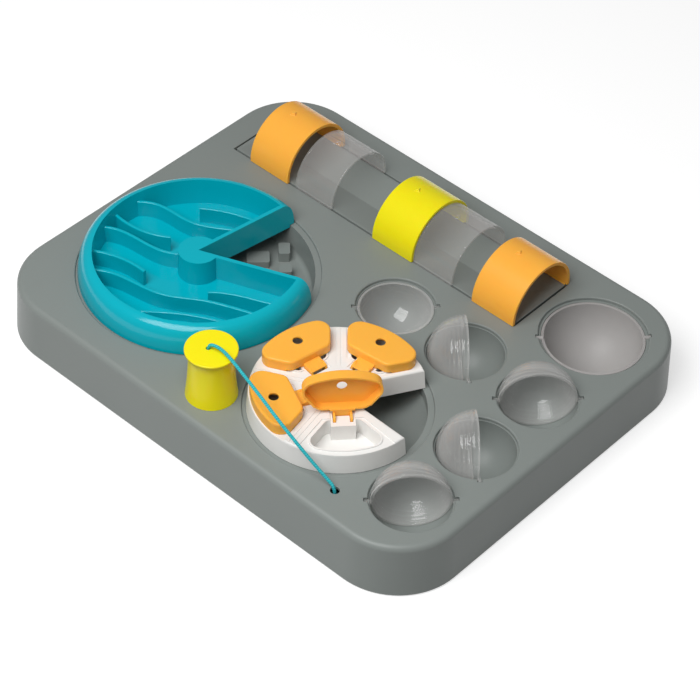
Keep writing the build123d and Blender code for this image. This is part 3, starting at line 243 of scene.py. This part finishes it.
def turned(radii, heights, sides, origin, across, along):
    """Points and faces of a profile turned about an axis: ring i at angle a is radius i times (cos a,
    sin a), at height i along the axis. across and along are the directions of angle 0 and of the axis."""
    across, along = np.array(across, float), np.array(along, float)
    angle = np.arange(sides) * 2 * np.pi / sides
    side = np.cross(along, across)
    spokes = np.outer(np.cos(angle), across) + np.outer(np.sin(angle), side)
    points = radii[:, None, None] * spokes[None] + heights[:, None, None] * along + np.array(origin)
    return points.reshape(-1, 3), ring_faces(len(radii), sides)


def joined(name, parts, materials, crease=40):
    """One mesh object from (points, faces, material index) parts, with its doubles merged."""
    mesh = bpy.data.meshes.new(name)
    starts = np.cumsum([0] + [len(points) for points, faces, finish in parts[:-1]])
    all_points = np.concatenate([points for points, faces, finish in parts])
    all_faces = np.concatenate([faces + start for (points, faces, finish), start in zip(parts, starts)])
    mesh.from_pydata(all_points, [], all_faces.tolist())
    finishes = np.concatenate([np.broadcast_to(finish, len(faces)) for points, faces, finish in parts])
    mesh.polygons.foreach_set("material_index", finishes.astype(np.int32))
    shape = bmesh.new()
    shape.from_mesh(mesh)
    bmesh.ops.remove_doubles(shape, verts=shape.verts, dist=1e-6)
    shape.to_mesh(mesh)
    shape.free()
    for material in materials:
        mesh.materials.append(material)
    mesh.shade_smooth()
    mesh.set_sharp_from_angle(angle=math.radians(crease))
    piece = bpy.data.objects.new(name, mesh)
    scene.collection.objects.link(piece)
    return piece


def cup_profile(radius, step_height):
    """Radii and heights from the outer pole up to the rim and back down inside, and the rings between which
    the rim lies: the wall's arc, then an even spread of angles round the pole."""

    def pole_angles(arc_radius):
        """Even angles from the pole up to the depth at which the wall's rings start."""
        return np.linspace(math.pi / 2, math.asin(POLE_FROM / arc_radius), POLE_RINGS)[:-1]

    def wall(arc_radius, deep):
        """The root of (arc radius squared minus depth squared), plus a cosine ripple of the step pitch that
        fades out over the last stretch before the steps' end."""
        fade = np.clip((STEPS_END - deep) / STEPS_FADE, 0, 1)
        ripple = step_height * np.cos(2 * np.pi * deep / STEP_PITCH) * fade
        return np.sqrt(arc_radius ** 2 - deep ** 2) + ripple

    depth = np.linspace(POLE_FROM, BEAD_DEPTH, WALL_RINGS)
    turn = np.linspace(0, math.pi / 2, BEAD_RINGS)
    bead = radius + BEAD_OUT
    inner = radius - CUP_WALL
    outer_low, inner_low = pole_angles(radius), pole_angles(inner)[::-1]
    radii = [radius * np.cos(outer_low), wall(radius, depth), [bead, bead],
             bead - BEAD_ROUND + BEAD_ROUND * np.cos(turn), inner + BEAD_ROUND - BEAD_ROUND * np.sin(turn),
             wall(inner, depth[::-1]), inner * np.cos(inner_low)]
    heights = [-radius * np.sin(outer_low), -depth, [-BEAD_DEPTH, -BEAD_DEPTH * BEAD_MIDDLE],
               -BEAD_ROUND + BEAD_ROUND * np.sin(turn), -BEAD_ROUND + BEAD_ROUND * np.cos(turn),
               -depth[::-1], -inner * np.sin(inner_low)]
    rim_from = len(outer_low) + len(depth) - 1
    return np.concatenate(radii), np.concatenate(heights), (rim_from, rim_from + 2 + 2 * len(turn))


smoky = clear_plastic("smoky_clear", (0.70, 0.695, 0.68, 1), roughness=0.045,
                      facing_cover=0.10, edge_cover=0.66)
frosted = clear_plastic("frosted_clear", (0.56, 0.54, 0.53, 1), roughness=0.5,
                        facing_cover=0.46, edge_cover=0.68, specular=0.3)
clear_edge = clear_plastic("clear_rim", (0.70, 0.70, 0.68, 1), roughness=0.08,
                           facing_cover=0.24, edge_cover=0.78)
for letter, at, radius, pins, tilt in CUPS:
    pin_line = np.array([math.cos(math.radians(pins)), math.sin(math.radians(pins)), 0])
    level = np.cross([0, 0, 1], pin_line)
    mouth = np.array([0, 0, 1]) * math.cos(math.radians(tilt)) - level * math.sin(math.radians(tilt))
    middle = (*at, CUP_AXIS)
    plain = letter == FROSTED
    radii, heights, (rim_from, rim_to) = cup_profile(radius, 0.0 if plain else STEP_HEIGHT)
    points, faces = turned(radii, heights, CUP_SIDES, middle, pin_line, mouth)
    ring = np.arange(len(faces)) // CUP_SIDES
    parts = [(points, faces, ((ring >= rim_from) & (ring < rim_to)).astype(int))]
    pin_end = radius + PIN_REACH
    pin_radii = np.array([0, PIN_RADIUS, PIN_RADIUS, PIN_RADIUS - PIN_CHAMFER, 0])
    pin_heights = np.array([radius - PIN_ROOT, radius - PIN_ROOT, pin_end - PIN_CHAMFER, pin_end, pin_end])
    for side in (-1, 1):
        parts.append((*turned(pin_radii, pin_heights, PIN_SIDES, middle, mouth, side * pin_line), 0))
    cup = joined(f"cup_{letter}_shell", parts, [frosted, frosted] if plain else [smoky, clear_edge])
    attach(cup, f"cup_{letter}_body")
    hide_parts("cup_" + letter)


# ---------------------------------------------------------------- arches
# Half-round covers with open ends, three in coloured plastic and two in clear. Each runs
# on two tongues in the slots beside the bed, hooked under the deck.

yellow = moulded_plastic("yellow_gloss", paint(240, 227, 24), paint(237, 223, 18),
                         roughness=0.22, specular=0.22, depth=0.0015)
clear_sheet = clear_plastic("clear_arch_sheet", (0.70, 0.675, 0.66, 1), roughness=0.06,
                            facing_cover=0.09, edge_cover=0.56)
for node, body, material, slot in (("arch_orange_left", "orange_arch_left", orange, "orange"),
                                   ("arch_clear_left", "clear_arch_left", clear_sheet, "clear"),
                                   ("arch_yellow", "yellow_arch", yellow, "yellow"),
                                   ("arch_clear_right", "clear_arch_right", clear_sheet, "clear"),
                                   ("arch_orange_right", "orange_arch_right", orange, "orange")):
    arch = dress(node, body, material, bevel=0.0004)
    if material is clear_sheet:
        arch.data.materials.append(clear_edge)
        arch.modifiers["rounds"].material = 1


# ---------------------------------------------------------------- tethered cup and cord
# A cup with a flange, moulded in glossy yellow, on a braided cord in two shades of teal. The
# cord is knotted inside the cup and under the deck.

CORD_RADIUS = 0.00115
# Points along the cord in millimetres, from the cup's knot to the knot under the deck.
CORD_ROUTE = [
    (-5.5, -130.0, 84.0), (-5.5, -130.0, 90.9), (1.5, -127.9, 91.8), (10.2, -128.1, 90.8),
    (25.0, -131.0, 88.6), (49.5, -136.8, 85.4), (72.0, -141.2, 79.8), (89.5, -140.9, 69.6),
    (103.0, -138.2, 57.6), (112.5, -136.5, 50.6), (118.7, -136.3, 46.8), (118.7, -136.3, 40.0)]
STRANDS, STRAND_PITCH, STRAND_RADIUS, STRAND_SIDES = 5, 0.0068, 0.00042, 6
STRAND_SUNK, STRAND_WEAVE, STRAND_FLATNESS = 0.00028, 0.00013, 0.75
BRAID_START, BRAID_STOP, BRAID_STEP = 0.0032, 0.0034, 0.00045
# A direction in which the cord never runs.
NEVER_ALONG = (0.3, 1.0, 0.05)


def cord_curve(name, radius):
    """The cord's centreline as a NURBS curve, with a round section where a radius is given."""
    line = bpy.data.curves.new(name, "CURVE")
    line.dimensions = "3D"
    spline = line.splines.new("NURBS")
    spline.points.add(len(CORD_ROUTE) - 1)
    for point, place in zip(spline.points, CORD_ROUTE):
        point.co = (*(value / 1000 for value in place), 1.0)
    spline.order_u = 3
    spline.use_endpoint_u = True
    line.bevel_depth = radius
    line.bevel_resolution = 4
    line.use_fill_caps = True
    line.resolution_u = 8 if radius else 24
    curve = bpy.data.objects.new(name, line)
    scene.collection.objects.link(curve)
    return curve


def strand_tubes(route, turn):
    """Strands wound round the route: strand k stands at the cord's radius, at an angle of 2 pi times
    (distance over pitch) times the turn, plus its share k of a circle, and rises and dips where it crosses
    the others."""
    steps = np.linalg.norm(np.diff(route, axis=0), axis=1)
    far = np.concatenate([[0], np.cumsum(steps)])
    along = np.arange(BRAID_START, far[-1] - BRAID_STOP, BRAID_STEP)
    centre = np.stack([np.interp(along, far, route[:, axis]) for axis in range(3)], 1)
    forward = np.gradient(centre, axis=0)
    forward /= np.linalg.norm(forward, axis=1)[:, None]
    across = np.cross(forward, NEVER_ALONG)
    across /= np.linalg.norm(across, axis=1)[:, None]
    over = np.cross(forward, across)
    lobe = np.arange(STRAND_SIDES) * 2 * np.pi / STRAND_SIDES
    faces = ring_faces(len(along), STRAND_SIDES)[:, [0, 3, 2, 1]]
    parts = []
    for strand in range(STRANDS):
        angle = turn * 2 * np.pi * along / STRAND_PITCH + 2 * np.pi * strand / STRANDS
        weave = turn * np.sin(2 * STRANDS * np.pi * along / STRAND_PITCH + strand)
        reach = CORD_RADIUS - STRAND_SUNK + STRAND_WEAVE * weave
        outward = np.cos(angle)[:, None] * across + np.sin(angle)[:, None] * over
        line = centre + reach[:, None] * outward
        ahead = np.gradient(line, axis=0)
        ahead /= np.linalg.norm(ahead, axis=1)[:, None]
        beside = np.cross(ahead, outward)
        tube = (line[:, None] + STRAND_RADIUS * np.cos(lobe)[None, :, None] * beside[:, None]
                + STRAND_FLATNESS * STRAND_RADIUS * np.sin(lobe)[None, :, None] * outward[:, None])
        parts.append((tube.reshape(-1, 3), faces, 0))
    return parts


dress("tether_cup", "tethered_cup", yellow)
cord_dye = moulded_plastic("cord_dye", paint(84, 208, 212), paint(66, 196, 202),
                           roughness=0.6, grain=0.4, grain_size=2500, specular=0.2)
cord_dark = moulded_plastic("cord_dye_dark", paint(34, 168, 178), paint(28, 156, 166),
                            roughness=0.6, grain=0.4, grain_size=2500, specular=0.2)
cup_knot = dress("cup_knot", "tethered_cup", cord_dye)
tray_knot = dress("tray_knot", "tray", cord_dye)

cord = cord_curve("cord_core", CORD_RADIUS)
cord.data.materials.append(cord_dark)
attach(cord, "tethered_cup")
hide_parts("cord")

guide = cord_curve("cord_guide", 0.0)
bpy.context.view_layer.update()
trace = bpy.data.meshes.new_from_object(guide.evaluated_get(bpy.context.evaluated_depsgraph_get()))
route = np.empty(len(trace.vertices) * 3)
trace.vertices.foreach_get("co", route)
bpy.data.objects.remove(guide)
bpy.data.meshes.remove(trace)

for name, turn, dye in (("cord_light_strands", 1, cord_dye), ("cord_dark_strands", -1, cord_dark)):
    strands = joined(name, strand_tubes(route.reshape(-1, 3), turn), [dye], crease=60)
    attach(strands, "tethered_cup")


# ---------------------------------------------------------------- floor, light and camera
# A plain white floor, one large soft light from the front left and high up, and an even dim
# sky. The floor glows only where it is looked at, and keeps the tray's soft contact shadow.

FLOOR_REACH = 3
PAPER_GLOW, PAPER_BOUNCE, PAPER_SEEN = 0.60, 0.30, 0.54
SKY_STRENGTH = 0.26
LIGHT_PLACE, LIGHT_SIZE, LIGHT_WATTS = Vector((0.05, -0.62, 1.08)), 0.82, 14.7
AZIMUTH, ELEVATION, ROLL = (math.radians(angle) for angle in (40.617, 44.183, 2.774))
AIM, DISTANCE = Vector((0.005678, 0.003895, 0.0)), 1.82266
SENSOR_WIDTH, FOCAL_LENGTH = 36, 129.165

corners = [(-FLOOR_REACH, -FLOOR_REACH, 0), (FLOOR_REACH, -FLOOR_REACH, 0),
           (FLOOR_REACH, FLOOR_REACH, 0), (-FLOOR_REACH, FLOOR_REACH, 0)]
floor_mesh = bpy.data.meshes.new("floor")
floor_mesh.from_pydata(corners, [], [(0, 1, 2, 3)])
floor = bpy.data.objects.new("floor", floor_mesh)
scene.collection.objects.link(floor)
floor_paper = bpy.data.materials.new("floor_paper")
floor_paper.use_nodes = True
paper = floor_paper.node_tree
paper_shader = paper.nodes["Principled BSDF"]
paper_shader.inputs["Roughness"].default_value = 0.9
paper_shader.inputs["Specular IOR Level"].default_value = 0.0
paper_shader.inputs["Emission Color"].default_value = (1, 1, 1, 1)


def worked_out(operation, first, second, clamp=False):
    """A sum or product in the floor's material, of an output and either another output or a number."""
    maths = paper.nodes.new("ShaderNodeMath")
    maths.operation = operation
    maths.use_clamp = clamp
    paper.links.new(first, maths.inputs[0])
    if isinstance(second, float):
        maths.inputs[1].default_value = second
    else:
        paper.links.new(second, maths.inputs[1])
    return maths.outputs[0]


sight = paper.nodes.new("ShaderNodeLightPath").outputs
seen = worked_out("ADD", sight["Is Camera Ray"], sight["Is Glossy Ray"])
seen = worked_out("ADD", seen, sight["Is Transmission Ray"], clamp=True)
paper.links.new(worked_out("MULTIPLY", seen, PAPER_GLOW), paper_shader.inputs["Emission Strength"])
paper_tone = paper.nodes.new("ShaderNodeMix")
paper_tone.data_type = "RGBA"
paper_tone.inputs["A"].default_value = (PAPER_BOUNCE, PAPER_BOUNCE, PAPER_BOUNCE, 1)
paper_tone.inputs["B"].default_value = (PAPER_SEEN, PAPER_SEEN, PAPER_SEEN, 1)
paper.links.new(seen, paper_tone.inputs["Factor"])
paper.links.new(paper_tone.outputs["Result"], paper_shader.inputs["Base Color"])
floor_mesh.materials.append(floor_paper)

world = bpy.data.worlds.new("studio")
world.use_nodes = True
world.node_tree.nodes["Background"].inputs["Color"].default_value = (1, 1, 1, 1)
world.node_tree.nodes["Background"].inputs["Strength"].default_value = SKY_STRENGTH
scene.world = world

light = bpy.data.lights.new("front_left", "AREA")
light.size = LIGHT_SIZE
light.energy = LIGHT_WATTS
lamp = bpy.data.objects.new("front_left", light)
lamp.location = LIGHT_PLACE
lamp.rotation_euler = LIGHT_PLACE.to_track_quat("Z", "Y").to_euler()
scene.collection.objects.link(lamp)

look = Vector((-math.sin(AZIMUTH) * math.cos(ELEVATION), math.cos(AZIMUTH) * math.cos(ELEVATION),
               -math.sin(ELEVATION)))
right = Vector((math.cos(AZIMUTH), math.sin(AZIMUTH), 0))
up = right.cross(look)
tilted_right = right * math.cos(ROLL) + up * math.sin(ROLL)
tilted_up = up * math.cos(ROLL) - right * math.sin(ROLL)
turned_to = Matrix((tilted_right, tilted_up, -look)).transposed().to_4x4()
lens = bpy.data.cameras.new("camera")
lens.sensor_width = SENSOR_WIDTH
lens.lens = FOCAL_LENGTH
camera = bpy.data.objects.new("camera", lens)
camera.matrix_world = Matrix.Translation(AIM - look * DISTANCE) @ turned_to
scene.collection.objects.link(camera)
scene.camera = camera
